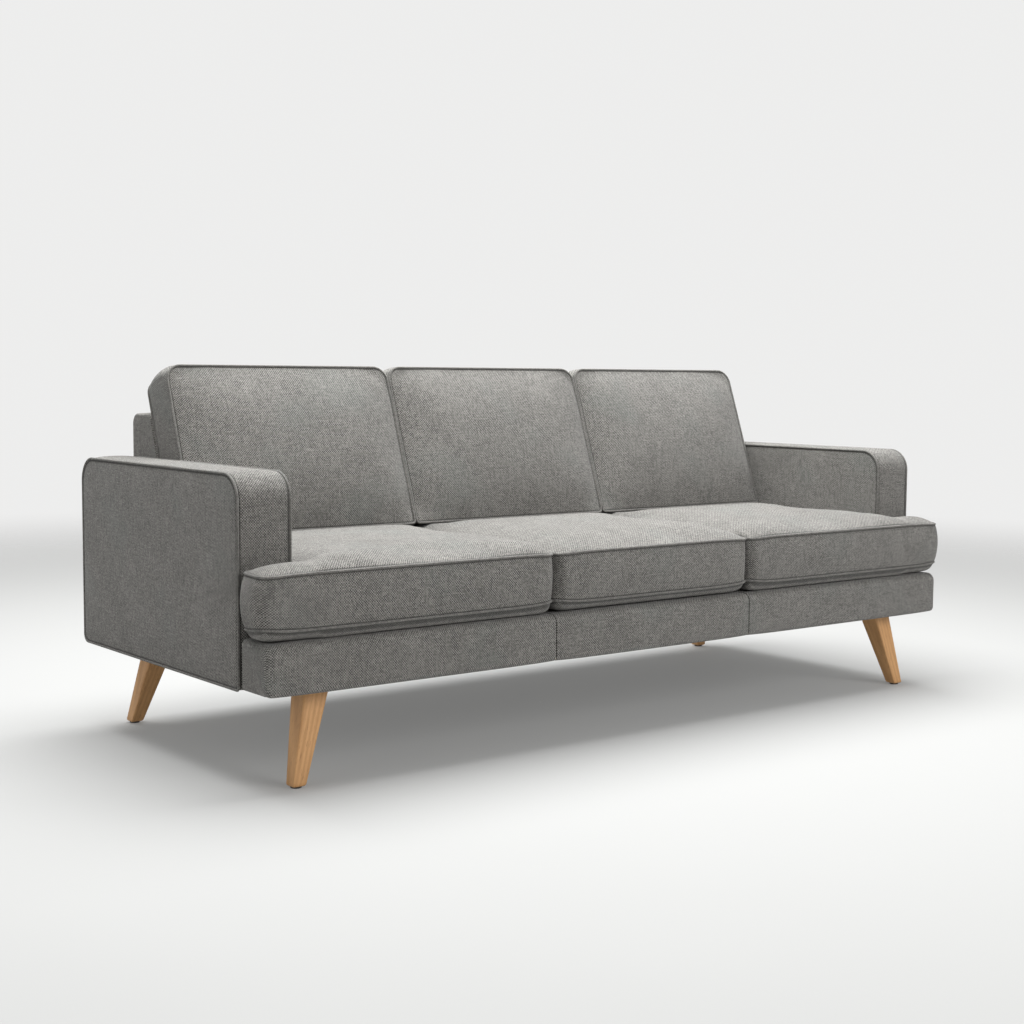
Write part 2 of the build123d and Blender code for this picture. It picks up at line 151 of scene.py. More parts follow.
def weave(name, cell, turn=0.0, seamShade=True):
    # Two sets of yarn cross in a chequer of cells. A cell shows the yarn that passes over it as a
    # pillow, high in the middle and low at the gaps. Its grey adds the chequer, a random number for
    # the cell and a streak along the yarn. It is darkened by painted shade in the gaps between yarns
    # and by a line of painted shade along the seams. The whole pattern drifts a little, as cloth does
    # when it is pulled on.
    shade = Shade(name, Sheen_Weight=0.15, Sheen_Roughness=0.5, Specular_IOR_Level=0.2)
    uv = shade.node("UVMap")
    turned = shade.stretch(uv, (1 / cell, 1 / cell, 1), (0, 0, turn))
    drift, wander = shade.noise(uv, 7.0, 1.0), shade.noise(uv, 110.0, 1.0)
    across = shade.node("SeparateXYZ", None, {0: turned})
    along = shade.also(across, 1) + drift * 3.0 + wander * 0.35
    across = across + drift * 2.0 + wander * 0.3
    column, row = across.math("FLOOR"), along.math("FLOOR")
    chequer = (column + row).math("FLOORED_MODULO", 2.0)
    a = across.math("FRACT") * 2 - 1
    b = along.math("FRACT") * 2 - 1
    pillow = (1 - a * a) * (1 - b * b)
    ribA, ribB = (a * np.pi).math("SINE"), (b * np.pi).math("SINE")
    ribs = ribA * ribA * chequer + ribB * ribB * (1 - chequer)
    height = pillow.math("POWER", 0.5) + ribs * 0.18 + chequer * 0.25
    spot = shade.node("CombineXYZ", None, {0: column, 1: row})
    chance = shade.node("TexWhiteNoise", {"noise_dimensions": "2D"}, {"Vector": spot})
    warpStreak = shade.noise(shade.stretch(turned, (0.8, 0.06, 1)), 1.0, 1.0)
    weftStreak = shade.noise(shade.stretch(turned, (0.06, 0.8, 1)), 1.0, 1.0)
    streak = warpStreak * chequer + weftStreak * (1 - chequer)
    cloud = shade.noise(uv, 9.0, 3.0)
    tone = chequer * fabric["chequer"] + (chance - 0.5) * fabric["fleck"]
    tone = tone + (streak - 0.5) * fabric["streak"] + (cloud - 0.5) * fabric["cloud"] + fabric["lift"]
    # Painted shade: the grey falls to dark in the gaps between the yarns.
    tone = tone * shade.ramp(pillow, -0.3, 0.4)
    grey = shade.mix(tone, fabric["dark"], fabric["light"])
    tint = shade.ramp(shade.noise(uv, 5.0, 2.0), 0.48, 0.72)
    colour = shade.mix(tint * 0.2, grey, fabric["cool"])
    # Painted shade: along the seams the colour is mixed towards the shadow colour.
    if seamShade:
        fold = shade.node("Attribute", {"attribute_name": "seamShade"}, None, 2)
        colour = shade.mix(shade.ramp(fold, 0.0, 0.4) * fabric["seamShade"], colour, fabric["shadow"])
    return shade.finish(colour, 0.86 + chance * 0.1, height, fabric["weaveDepth"], 0.75)


def timber(name, tones, alongZ=True, attribute=None, rough=0.42, rings=260.0):
    # Growth rings are a sine of the distance from the tree's heart, bent by slow noise. Pores are
    # fine dark noise drawn out along the grain, and flecks are the same but coarser and pale.
    shade = Shade(name, Coat_Weight=0.1, Coat_Roughness=0.35)
    if attribute:
        source = shade.node("Attribute", {"attribute_name": attribute}, None, 1)
    else:
        source = shade.node("TexCoord", None, None, 3)
    long = (1, 1, 0.05) if alongZ else (0.05, 1, 1)
    grain = shade.stretch(source, long)
    bend = shade.noise(grain, 16.0, 2.0)
    x = shade.node("SeparateXYZ", None, {0: source})
    y, z = shade.also(x, 1), shade.also(x, 2)
    p, q = (x + 0.045, y + 0.02) if alongZ else (y + 0.05, z + 0.02)
    radial = (p * p + q * q * 0.5).math("SQRT") * rings + bend * 9.0
    ring = (radial * 2.0).math("SINE") * 0.5 + 0.5
    pores = shade.noise(grain, 620.0, 2.0, 0.6)
    fleck = shade.noise(grain, 110.0, 3.0, 0.6)
    body = shade.mix(ring * 0.5 + (fleck - 0.5) * 1.1 + 0.1, tones["pale"], tones["mid"])
    gaps = shade.ramp(pores, 0.56, 0.72)
    colour = shade.mix(gaps * 0.5, body, tones["deep"])
    return shade.finish(colour, rough + pores * 0.2, 1 - gaps, 0.2 * mm, 0.5)


def speckle(name, low, high, scale, rough, depth=0.3 * mm, stretch=(1, 1, 1), **constants):
    # A plain finish: noise in object coordinates mixes two tones and gives the bump.
    shade = Shade(name, **constants)
    source = shade.stretch(shade.node("TexCoord", None, None, 3), stretch)
    fine, slow = shade.noise(source, scale, 3.0, 0.6), shade.noise(source, scale / 12, 2.0)
    tone = shade.ramp(fine * 0.7 + slow * 0.3, 0.3, 0.7)
    return shade.finish(shade.mix(tone, low, high), rough + fine * 0.15, fine, depth, 0.5)


def crossCloth(name, low, high, cell):
    # A thin plain cloth: two crossed sines in object coordinates.
    shade = Shade(name, Sheen_Weight=0.1)
    x = shade.node("SeparateXYZ", None, {0: shade.node("TexCoord", None, None, 3)})
    y = shade.also(x, 1)
    mesh = (x * (np.pi / cell)).math("SINE") * (y * (np.pi / cell)).math("SINE")
    worn = shade.noise(shade.node("TexCoord", None, None, 3), 30.0, 3.0)
    tone = mesh * 0.3 + worn * 0.5 + 0.15
    return shade.finish(shade.mix(tone, low, high), 0.9 + worn * 0.05, mesh, 0.25 * mm, 0.5)


def plyBoard(name):
    # Plywood edge layers: a sine across the sheet, with long noise for the face veneer.
    shade = Shade(name)
    source = shade.node("TexCoord", None, None, 3)
    x = shade.node("SeparateXYZ", None, {0: source})
    layers = shade.ramp((x * 3500.0).math("SINE"), -0.2, 0.2)
    veneer = shade.noise(shade.stretch(source, (1, 8, 90)), 2.0, 4.0, 0.6)
    body = shade.mix(veneer, (0.52, 0.36, 0.20, 1), (0.70, 0.53, 0.34, 1))
    return shade.finish(shade.mix(layers * 0.25, body, (0.35, 0.22, 0.11, 1)), 0.6 + veneer * 0.1,
                        veneer, 0.2 * mm, 0.4)


oakTones = {"pale": (0.58, 0.315, 0.128, 1), "mid": (0.41, 0.205, 0.072, 1),
            "deep": (0.19, 0.082, 0.026, 1)}
beechTones = {"pale": (0.66, 0.48, 0.31, 1), "mid": (0.55, 0.37, 0.22, 1), "deep": (0.36, 0.21, 0.11, 1)}

upholstery = weave("wovenUpholstery", fabric["cell"])
biasCloth = weave("biasPiping", fabric["pipingCell"], np.pi / 4, False)
legOak = timber("oiledOak", oakTones, attribute="grain")
slotFinish = {
    "upholstery": upholstery,
    "cushion_fabric": upholstery,
    "oak": legOak,
    "beech": timber("planedBeech", beechTones, alongZ=False, rough=0.55),
    "plywood": plyBoard("plyPanel"),
    "foam": speckle("openFoam", (0.72, 0.64, 0.46, 1), (0.86, 0.80, 0.64, 1), 900.0, 0.85, 0.6 * mm),
    "fibre": speckle("fibreWadding", (0.80, 0.80, 0.78, 1), (0.93, 0.93, 0.92, 1), 260.0, 0.9, 1.2 * mm),
    "felt": speckle("deckFelt", (0.18, 0.175, 0.17, 1), (0.40, 0.39, 0.38, 1), 700.0, 0.92, 0.5 * mm),
    "black_cloth": crossCloth("blackCloth", (0.010, 0.010, 0.011, 1), (0.042, 0.042, 0.045, 1), 1.2 * mm),
    "webbing": crossCloth("elasticWebbing", (0.03, 0.03, 0.035, 1), (0.16, 0.16, 0.17, 1), 2.4 * mm),
    "zinc_steel": speckle("zincSteel", (0.50, 0.51, 0.50, 1), (0.68, 0.68, 0.64, 1), 220.0, 0.28,
                          0.05 * mm, Metallic=1.0),
    "spring_steel": speckle("springSteel", (0.16, 0.17, 0.19, 1), (0.34, 0.35, 0.37, 1), 400.0, 0.32,
                            0.05 * mm, (0.2, 1, 1), Metallic=1.0),
    "glide_plastic": speckle("glidePlastic", (0.016, 0.014, 0.012, 1), (0.05, 0.045, 0.04, 1), 500.0, 0.45,
                             0.08 * mm),
}
for row in frame["record"]["subparts"]:
    node = frame["nodes"][row["node"]]
    node.data.materials.clear()
    node.data.materials.append(slotFinish[row["material_slot"]])
print("finishes made:", len(bpy.data.materials))


# Mesh helpers

def makePiece(name, points, faces, uv, material, body):
    # Points are rows of x, y, z. Faces are rows of four indices, and uv gives a pair for each corner.
    mesh = bpy.data.meshes.new(name)
    mesh.from_pydata(points.tolist(), [], faces.tolist())
    layer = mesh.uv_layers.new(name="UVMap")
    layer.data.foreach_set("uv", np.ascontiguousarray(uv, np.float32).ravel())
    mesh.polygons.foreach_set("use_smooth", np.ones(len(faces), bool))
    mesh.materials.append(material)
    piece = bpy.data.objects.new(name, mesh)
    bpy.context.scene.collection.objects.link(piece)
    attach(piece, body)
    return piece


def weld(piece, merge=True):
    # Points that meet become one, if merge is true, and every face is turned outwards.
    work = bmesh.new()
    work.from_mesh(piece.data)
    if merge:
        bmesh.ops.remove_doubles(work, verts=work.verts, dist=0.02 * mm)
    bmesh.ops.recalc_face_normals(work, faces=work.faces)
    work.to_mesh(piece.data)
    work.free()
    return piece


def markSeamShade(piece, folds):
    # A number for each point: 1 on a seam and 0 away from it. The fabric takes painted seam shade by it.
    seamShade = piece.data.attributes.new("seamShade", "FLOAT", "POINT")
    seamShade.data.foreach_set("value", np.asarray(folds, np.float32))


def gridFaces(rows, columns):
    # Quads between neighbouring rows of a grid of points, whose last column joins the first.
    i, j = np.meshgrid(np.arange(rows - 1), np.arange(columns), indexing="ij")
    k = (j + 1) % columns
    return np.stack([i * columns + j, i * columns + k, (i + 1) * columns + k, (i + 1) * columns + j],
                    -1).reshape(-1, 4)


def gridUv(u, v):
    # The same quads' corners, from u along each row, one longer than the row, and v for each row.
    count = u.shape[1] - 1
    cut = lambda a, di, dj: a[di:a.shape[0] - 1 + di, dj:count + dj]
    v = np.broadcast_to(v[:, None] if v.ndim == 1 else v, u.shape)
    pairs = [np.stack([cut(u, di, dj), cut(v, di, dj)], -1) for di, dj in ((0, 0), (0, 1), (1, 1), (1, 0))]
    return np.stack(pairs, 2).reshape(-1, 2)


def unit(vectors):
    # Every row divided by its own length.
    return vectors / np.linalg.norm(vectors, axis=1)[:, None]


def loopTangent(points):
    # Round a closed loop, the direction from the point before to the point after.
    return unit(np.roll(points, -1, 0) - np.roll(points, 1, 0))


def loopNormal(points):
    # The tangent of a flat loop turned a quarter, outwards whichever way round the loop runs.
    tangent = loopTangent(points)
    x, y = points.T
    turn = np.sign(np.sum(x * np.roll(y, -1) - y * np.roll(x, -1)))
    return np.stack([tangent[:, 1], -tangent[:, 0]], 1) * turn


def loopLength(points):
    # The length run so far at each point of a closed loop, and the whole length last.
    steps = np.linalg.norm(np.roll(points, -1, 0) - points, axis=1)
    return np.concatenate([[0], np.cumsum(steps)])


def roundedLoop(corners, radii, step=12 * mm, arcStep=4 * mm):
    # A closed outline: each corner is an arc tangent to its two sides, and straight stretches between
    # are divided evenly. Gives the points, their outward normals and the length along the outline.
    corners = np.asarray(corners, float)
    pieces = []
    befores, afters = np.roll(corners, 1, 0), np.roll(corners, -1, 0)
    for corner, before, after, radius in zip(corners, befores, afters, radii):
        back, on = unit(np.array([before - corner, after - corner]))
        half = np.arccos(np.clip(back @ on, -1, 1)) / 2
        centre = corner + (back + on) / np.linalg.norm(back + on) * radius / np.sin(half)
        start, end = corner + back * radius / np.tan(half), corner + on * radius / np.tan(half)
        count = max(3, int(np.ceil(radius * (np.pi - 2 * half) / arcStep)))
        share = np.linspace(0, 1, count + 1)[:, None]
        a, b = start - centre, end - centre
        turn = np.pi - 2 * half
        pieces.append(centre + (np.sin((1 - share) * turn) * a + np.sin(share * turn) * b) / np.sin(turn))
    whole = []
    for arc, following in zip(pieces, pieces[1:] + pieces[:1]):
        gap = following[0] - arc[-1]
        count = max(1, int(round(np.linalg.norm(gap) / step)))
        whole += [arc, arc[-1] + gap * (np.arange(1, count) / count)[:, None]]
    points = np.concatenate(whole)
    points = points[np.linalg.norm(points - np.roll(points, 1, 0), axis=1) > 0.01 * mm]
    return points, loopNormal(points), loopLength(points)


def towardsSpine(points, share):
    # Points of an outline moved a share of the way to the middle line of its box.
    low, high = points.min(0), points.max(0)
    half = (high - low).min() / 2
    spine = np.clip(points, low + half, high - half)
    return points + (spine - points) * share


piping = {"radius": 2.9 * mm, "sides": 10, "stand": 0.9 * mm}
pipingOut, pipingUp = 0.8, 0.6    # which way a cushion's piping stands: along the panel, and off it


def pipe(name, path, outward, body):
    # A closed cord of bias-cut fabric: a circle carried along a loop, standing a little outwards.
    radius = piping["radius"]
    path = path + outward * piping["stand"]
    tangent = loopTangent(path)
    side = unit(outward - tangent * np.sum(outward * tangent, 1)[:, None])
    up = np.cross(tangent, side)
    angle = np.arange(piping["sides"]) / piping["sides"] * 2 * np.pi
    ring = np.cos(angle)[None, :, None] * side[:, None] + np.sin(angle)[None, :, None] * up[:, None]
    points = path[:, None] + ring * radius
    points = np.concatenate([points, points[:1]])
    u = np.broadcast_to(np.append(angle, 2 * np.pi) * radius, (len(points), piping["sides"] + 1))
    faces, uv = gridFaces(len(points), piping["sides"]), gridUv(u, loopLength(path))
    return weld(makePiece(name, points.reshape(-1, 3), faces, uv, biasCloth, body))


def smoothLoop(points):
    # The curve that a subdivided seam follows: a closed cubic B-spline through its control points.
    before, after, next2 = np.roll(points, 1, 0), np.roll(points, -1, 0), np.roll(points, -2, 0)
    at = (before + 4 * points + after) / 6
    between = (before + 23 * points + 23 * after + next2) / 48
    return np.stack([at, between], 1).reshape(-1, 3)


waveCount = 5


def waves(points, size, seed, reach=0.35):
    # Slow unevenness of hand-built upholstery: a few sines in random directions.
    chance = np.random.default_rng(seed)
    total = np.zeros(points.shape[:-1])
    for _ in range(waveCount):
        direction = chance.normal(size=3)
        direction /= np.linalg.norm(direction)
        length = reach * chance.uniform(0.6, 1.4)
        total += np.sin(points @ direction * 2 * np.pi / length + chance.uniform(0, 6.3))
    return total * size / waveCount


# Sizes read from the frame

armLow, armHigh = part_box("arm_cover_left")
railLow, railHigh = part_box("front_rail_cover")
backLow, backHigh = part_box("back_cover")
armFront, armBack, armTop, floorGap = armLow.y, armHigh.y, armHigh.z, armLow.z
armInner, armOuter = -armHigh.x, -armLow.x
armWide = armOuter - armInner
splitX = armInner / 3


# Arms

arm = {
    "topRadius": 55 * mm,
    "footRadius": 18 * mm,
    "edge": 2.5 * mm,
    "bandBulge": 6 * mm,
    "panelCrown": 4 * mm,
    "panelReach": 35 * mm,
    "innerShare": 0.3,
    "roll": 1.8 * mm,
    "rollReach": 4 * mm,
    "foldWidth": 7 * mm,
    "panelRings": 12,
    "bandRows": 9,
}


def armShell(name, side):
    # The outline in Y and Z is carried from the middle of the inner panel, out to its seam, over the
    # band and back to the middle of the outer panel. Panels swell away from their seams.
    shape = [(armFront, floorGap), (armBack, floorGap), (armBack, armTop - arm["edge"]),
             (armFront, armTop - arm["edge"])]
    radii = [arm["footRadius"] / 3, arm["footRadius"], arm["topRadius"], arm["topRadius"]]
    loop, normal, length = roundedLoop(shape, radii)
    half = (loop.max(0) - loop.min(0)).min() / 2
    fold = arm["foldWidth"]
    shares = np.append(np.linspace(1, fold / half, arm["panelRings"] - 1), 0)
    bandShares = np.linspace(fold, armWide - fold, arm["bandRows"]) / armWide
    rows, u, v = [], [], []
    for near, outwards in ((armInner, -1), (armOuter, 1)):
        for share in shares if outwards < 0 else shares[::-1]:
            ring = towardsSpine(loop, share)
            crown = arm["panelCrown"] * (1 if outwards > 0 else arm["innerShare"])
            rise = crown * (1 - np.exp(-share * half / arm["panelReach"]))
            rise = rise + arm["roll"] * (1 - np.exp(-share * half / arm["rollReach"]))
            plane = np.c_[ring, np.full(len(ring), near)]
            rise = rise + waves(plane, 0.8 * mm, 5 + side) * min(1, share * 6)
            rows.append(np.c_[side * (near + outwards * rise), ring])
            u.append(np.append(ring[:, 0], ring[0, 0]) * side * outwards)
            v.append(np.append(ring[:, 1], ring[0, 1]))
        if outwards < 0:
            for share in bandShares:
                rise = arm["bandBulge"] * (4 * share * (1 - share)) ** 0.7
                rise = rise * np.clip(0.45 + 0.65 * np.maximum(normal[:, 1], 0), 0, 1)[:, None]
                ring = loop + normal * rise
                rows.append(np.c_[np.full(len(ring), side * (armInner + share * armWide)), ring])
                u.append(length)
                v.append(np.full(len(length), share * armWide))
    points = np.array(rows)
    uv = gridUv(np.array(u), np.array(v))
    # The band's first and last strips take their seam edge from the band, not from the panel.
    strips = uv.reshape(len(rows) - 1, len(loop), 4, 2)
    first, last = arm["panelRings"] - 1, arm["panelRings"] + arm["bandRows"] - 1
    for strip, corners, height in ((first, (0, 1), 0), (last, (3, 2), armWide)):
        strips[strip, :, corners[0]] = np.c_[length[:-1], np.full(len(loop), height)]
        strips[strip, :, corners[1]] = np.c_[length[1:], np.full(len(loop), height)]
    piece = makePiece(name, points.reshape(-1, 3), gridFaces(len(rows), len(loop)), strips.reshape(-1, 2),
                      upholstery, "frame")
    # The seam rows get painted shade, a dark line in the fabric along each seam.
    folds = np.zeros((len(rows), len(loop)))
    folds[[first, last + 1]] = 1
    markSeamShade(piece, folds.ravel())
    weld(piece)
    for word, near, outwards in (("inner", armInner, -1), ("outer", armOuter, 1)):
        path = np.c_[np.full(len(loop), side * near), loop]
        away = np.c_[np.full(len(loop), side * outwards * 0.7), normal * 0.7]
        pipe(f"{name}_piping_{word}", path, away, "frame")
    return piece


for word, side in (("left", -1), ("right", 1)):
    shell = armShell(f"arm_upholstery_{word}", side)
    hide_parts(f"arm_cover_{word}")
print("arms covered")


# Front rail

rail = {
    "topRadius": 20 * mm,
    "footRadius": 9 * mm,
    "endRadius": 14 * mm,
    "endStand": 6 * mm,
    "seamDepth": 2.6 * mm,
    "seamWidth": 1.5 * mm,
    "puff": 2.0 * mm,
}
puffReach, capDepth = 45 * mm, 40 * mm


def carriedProfile(name, corners, radii, half, endRadius, seams, settings, capped):
    # A closed outline in Y and Z carried along X. The outline shrinks along its normals in rounded
    # ends and in narrow grooves at the seams, and swells a little between them.
    loop, normal, length = roundedLoop(corners, radii, 14 * mm, 3 * mm)
    fine = np.linspace(-6, 6, 17) * mm
    ends = half - endRadius * (1 - np.sin(np.linspace(0, 1, 7) * np.pi / 2))
    stops = np.concatenate([np.linspace(-half + endRadius, half - endRadius, int(half / (14 * mm))),
                            ends, -ends] + [seam + fine for seam in seams])
    stops = np.unique(np.round(stops, 6))
    inset, fold = np.zeros(len(stops)), np.zeros(len(stops))
    past = np.clip(np.abs(stops) - (half - endRadius), 0, endRadius)
    drawn = (endRadius - np.sqrt(np.maximum(endRadius ** 2 - past ** 2, 0))) / (np.ptp(loop, 0).min() / 2)
    distance = np.full(len(stops), half)
    for seam in seams:
        line = np.exp(-((stops - seam) / settings["seamWidth"]) ** 2)
        inset += settings["seamDepth"] * line
        fold = np.maximum(fold, line)
        distance = np.minimum(distance, np.abs(stops - seam))
    distance = np.minimum(distance, half - np.abs(stops))
    inset -= settings["puff"] * (1 - np.exp(-distance / puffReach))
    sections = np.array([towardsSpine(loop, share) for share in drawn])
    move = -inset[:, None, None] * normal[None]
    points = np.concatenate([np.broadcast_to(stops[:, None, None], (len(stops), len(loop), 1)),
                             sections + move], 2)
    rows, values = [points], [stops]
    if capped:
        for share in (0.25, 0.6, 1.0):
            rows = [np.c_[points[0, :, :1], towardsSpine(points[0, :, 1:], share)][None]] + rows \
                + [np.c_[points[-1, :, :1], towardsSpine(points[-1, :, 1:], share)][None]]
            values = [[-half - share * capDepth]] + values + [[half + share * capDepth]]
        fold = np.concatenate([np.zeros(3), fold, np.zeros(3)])
    points, values = np.concatenate(rows), np.concatenate(values)
    u = np.broadcast_to(length, (len(values), len(length)))
    piece = makePiece(name, points.reshape(-1, 3), gridFaces(len(values), len(loop)), gridUv(u, values),
                      upholstery, "frame")
    # Points at the seam grooves get painted shade, a dark line in the fabric along each seam.
    markSeamShade(piece, np.repeat(fold * 0.6, len(loop)))
    return piece, len(loop), len(values)


railShape = [(railLow.y, railLow.z), (railHigh.y, railLow.z), (railHigh.y, railHigh.z),
             (railLow.y, railHigh.z)]
frontRail, _, _ = carriedProfile(
    "front_rail_upholstery", railShape, [rail["footRadius"], 3 * mm, 3 * mm, rail["topRadius"]],
    railHigh.x + rail["endStand"], rail["endRadius"], [-splitX, splitX], rail, True)
weld(frontRail)
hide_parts("front_rail_cover")
print("front rail covered")


# Back

back = {
    "topRadius": 24 * mm,
    "edgeRadius": 5 * mm,
    "flap": 12 * mm,
    "seamDepth": 2.2 * mm,
    "seamWidth": 1.6 * mm,
    "puff": 2.5 * mm,
}
rake = np.arctan2(*[abs(a) for a in frame["joints"][-1]["axis"][1:]])
seatLow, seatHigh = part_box("seat_cushion_cover_left")
seatTop = seatHigh.z
kneeY = backLow.y
topFrontY = kneeY + (backHigh.z - seatTop) * np.tan(rake)
backShape = [(backHigh.y, backLow.z), (backHigh.y, backHigh.z), (topFrontY, backHigh.z), (kneeY, seatTop),
             (kneeY, railHigh.z + 1 * mm), (backHigh.y - back["flap"], railHigh.z + 1 * mm),
             (backHigh.y - back["flap"], backLow.z)]
backRadii = [2 * mm, back["topRadius"], back["topRadius"], 6 * mm, 3 * mm, 3 * mm, 2 * mm]
backPiece, around, rows = carriedProfile(
    "back_upholstery", backShape, backRadii, backHigh.x, back["edgeRadius"], [-splitX, splitX], back, False)
work = bmesh.new()
work.from_mesh(backPiece.data)
work.verts.ensure_lookup_table()
uvLayer = work.loops.layers.uv.active
for start in (0, (rows - 1) * around):
    cap = work.faces.new([work.verts[start + k] for k in range(around)])
    cap.smooth = False
    for corner in cap.loops:
        corner[uvLayer].uv = corner.vert.co.yz
bmesh.ops.triangulate(work, faces=[f for f in work.faces if len(f.verts) > 4])
bmesh.ops.recalc_face_normals(work, faces=work.faces)
work.to_mesh(backPiece.data)
work.free()
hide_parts("back_cover")
print("back covered")


# Legs

leg = {"edge": 5 * mm, "chamfer": 2.5 * mm, "rows": 40}


def squareRing(size, edge, perCorner=5, perSide=6):
    # A square with rounded corners, with the same count of points whatever its size.
    arcs, ring = [], []
    for k, corner in enumerate([(1, 1), (-1, 1), (-1, -1), (1, -1)]):
        angle = np.linspace(0, np.pi / 2, perCorner) + k * np.pi / 2
        arcs.append(np.array(corner) * (size / 2 - edge) + edge * np.c_[np.cos(angle), np.sin(angle)])
    for arc, following in zip(arcs, arcs[1:] + arcs[:1]):
        share = (np.arange(1, perSide) / perSide)[:, None]
        ring += [arc, arc[-1] + (following[0] - arc[-1]) * share]
    return np.concatenate(ring)


def makeLeg(place):
    # A rounded square carried in a straight line from the middle of the CAD leg's foot to the middle of
    # its head. It widens evenly on the way, is chamfered at the foot and closes to a point at each end.
    node = frame["nodes"][f"leg_{place}"]
    flat = np.zeros(len(node.data.vertices) * 3)
    node.data.vertices.foreach_get("co", flat)
    flat = flat.reshape(-1, 3)
    low, high = flat[:, 2].min(), flat[:, 2].max()
    ends = [flat[flat[:, 2] < low + 1 * mm], flat[flat[:, 2] > high - 1 * mm]]
    mids = [(end.max(0) + end.min(0)) / 2 for end in ends]
    sizes = [np.ptp(end[:, 0]) for end in ends]
    rows, grain, along = [], [], []
    t = np.concatenate([[0, 0, 0, 0.008], np.linspace(0.016, 1, leg["rows"]), [1, 1]])
    cut = leg["chamfer"] / sizes[0]
    shrink = np.concatenate([[0.001, 0.5, 1 - 2 * cut, 1 - 0.6 * cut], np.ones(leg["rows"]), [0.5, 0.001]])
    for share, scale in zip(t, shrink):
        size = sizes[0] + (sizes[1] - sizes[0]) * share
        ring = squareRing(size, leg["edge"] * size / sizes[1]) * scale
        mid = mids[0] + (mids[1] - mids[0]) * share
        height = np.full(len(ring), (high - low) * share)
        rows.append(np.c_[ring + mid[:2], low + height])
        grain.append(np.c_[ring, height + 0.37 * len(place)])
        along.append((high - low) * share + scale * 0.01)
    count = len(rows[0])
    u = np.broadcast_to(np.arange(count + 1) * 4 * sizes[1] / count, (len(rows), count + 1))
    piece = makePiece(f"oak_leg_{place}", np.concatenate(rows), gridFaces(len(rows), count),
                      gridUv(u, np.array(along)), legOak, "frame")
    stored = piece.data.attributes.new("grain", "FLOAT_VECTOR", "POINT")
    stored.data.foreach_set("vector", np.concatenate(grain).astype(np.float32).ravel())
    weld(piece)
    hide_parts(f"leg_{place}")


for place in ("front_left", "front_right", "rear_left", "rear_right"):
    makeLeg(place)
print("legs turned")


# Boxed cushions: two panels and a wall between them, joined by two piped seams

cushion = {
    "gap": 13 * mm,
    "wallRows": 7,
    "pressure": 2.2,
    "frames": 16,
    "spare": 0.012,
    "slip": 1.5 * mm,
    "calming": 4,
    "stiffness": 14.0,
    "bending": 0.6,
}
cushionPieces = []


def spread(stops, gap):
    # Every stretch between two stops is divided evenly, twice as finely where it turns a corner.
    stops = np.asarray(stops, float)
    fine = lambda size: gap / 2 if size < 5 * gap else gap
    counts = [int(round(size / fine(size))) for size in np.abs(np.diff(stops))]
    parts = [np.linspace(start, end, count, endpoint=False)
             for start, end, count in zip(stops, stops[1:], counts)]
    return np.concatenate(parts + [stops[-1:]]), np.concatenate([[0], np.cumsum(counts)])


def panelPlan(a, b, route, corners, notch=None):
    # A lattice of points over a panel, with an outline through the given corners of the lattice. Near
    # a corner (ca, cb) that points (sa, sb) a square of the lattice is drawn in to a quarter disc:
    # with s and t from 0 inside to 1 at the edge, s becomes s * sqrt(1 - t*t/2), and t the same way.
    gridA, gridB = np.meshgrid(a, b, indexing="ij")
    keep = np.ones((len(a) - 1, len(b) - 1), bool)
    if notch:
        keep[notch[0]:, notch[1]:] = False
    i, j = np.nonzero(keep)
    first = i * len(b) + j
    quads = np.stack([first, first + len(b), first + len(b) + 1, first + 1], 1)
    used, quads = np.unique(quads, return_inverse=True)
    a, b = gridA.ravel()[used], gridB.ravel()[used]
    walk = []
    for (i0, j0), (i1, j1) in zip(route, route[1:] + route[:1]):
        count = abs(i1 - i0) + abs(j1 - j0)
        steps = np.arange(count)
        walk.append((i0 + np.sign(i1 - i0) * steps) * gridB.shape[1] + j0 + np.sign(j1 - j0) * steps)
    loop = np.searchsorted(used, np.concatenate(walk))
    p, q = a.copy(), b.copy()
    for ca, cb, sa, sb, radius in corners:
        s, t = 1 - (ca - a) * sa / radius, 1 - (cb - b) * sb / radius
        near = (s > 0) & (t > 0) & (s < 1.001) & (t < 1.001)
        s, t = np.clip(s, 0, 1), np.clip(t, 0, 1)
        p = np.where(near, ca - sa * radius * (1 - s * np.sqrt(1 - t * t / 2)), p)
        q = np.where(near, cb - sb * radius * (1 - t * np.sqrt(1 - s * s / 2)), q)
    edge = np.c_[p[loop], q[loop]]
    return {"a": a, "b": b, "p": p, "q": q, "quads": quads.reshape(-1, 4), "loop": loop,
            "normal": loopNormal(edge), "length": loopLength(edge)}


def swell(distance, reach):
    # How full a panel is at a distance from a seam: 0 at the seam, nearly 1 a few reaches away.
    return 1 - np.exp(-np.maximum(distance, 0) / reach)


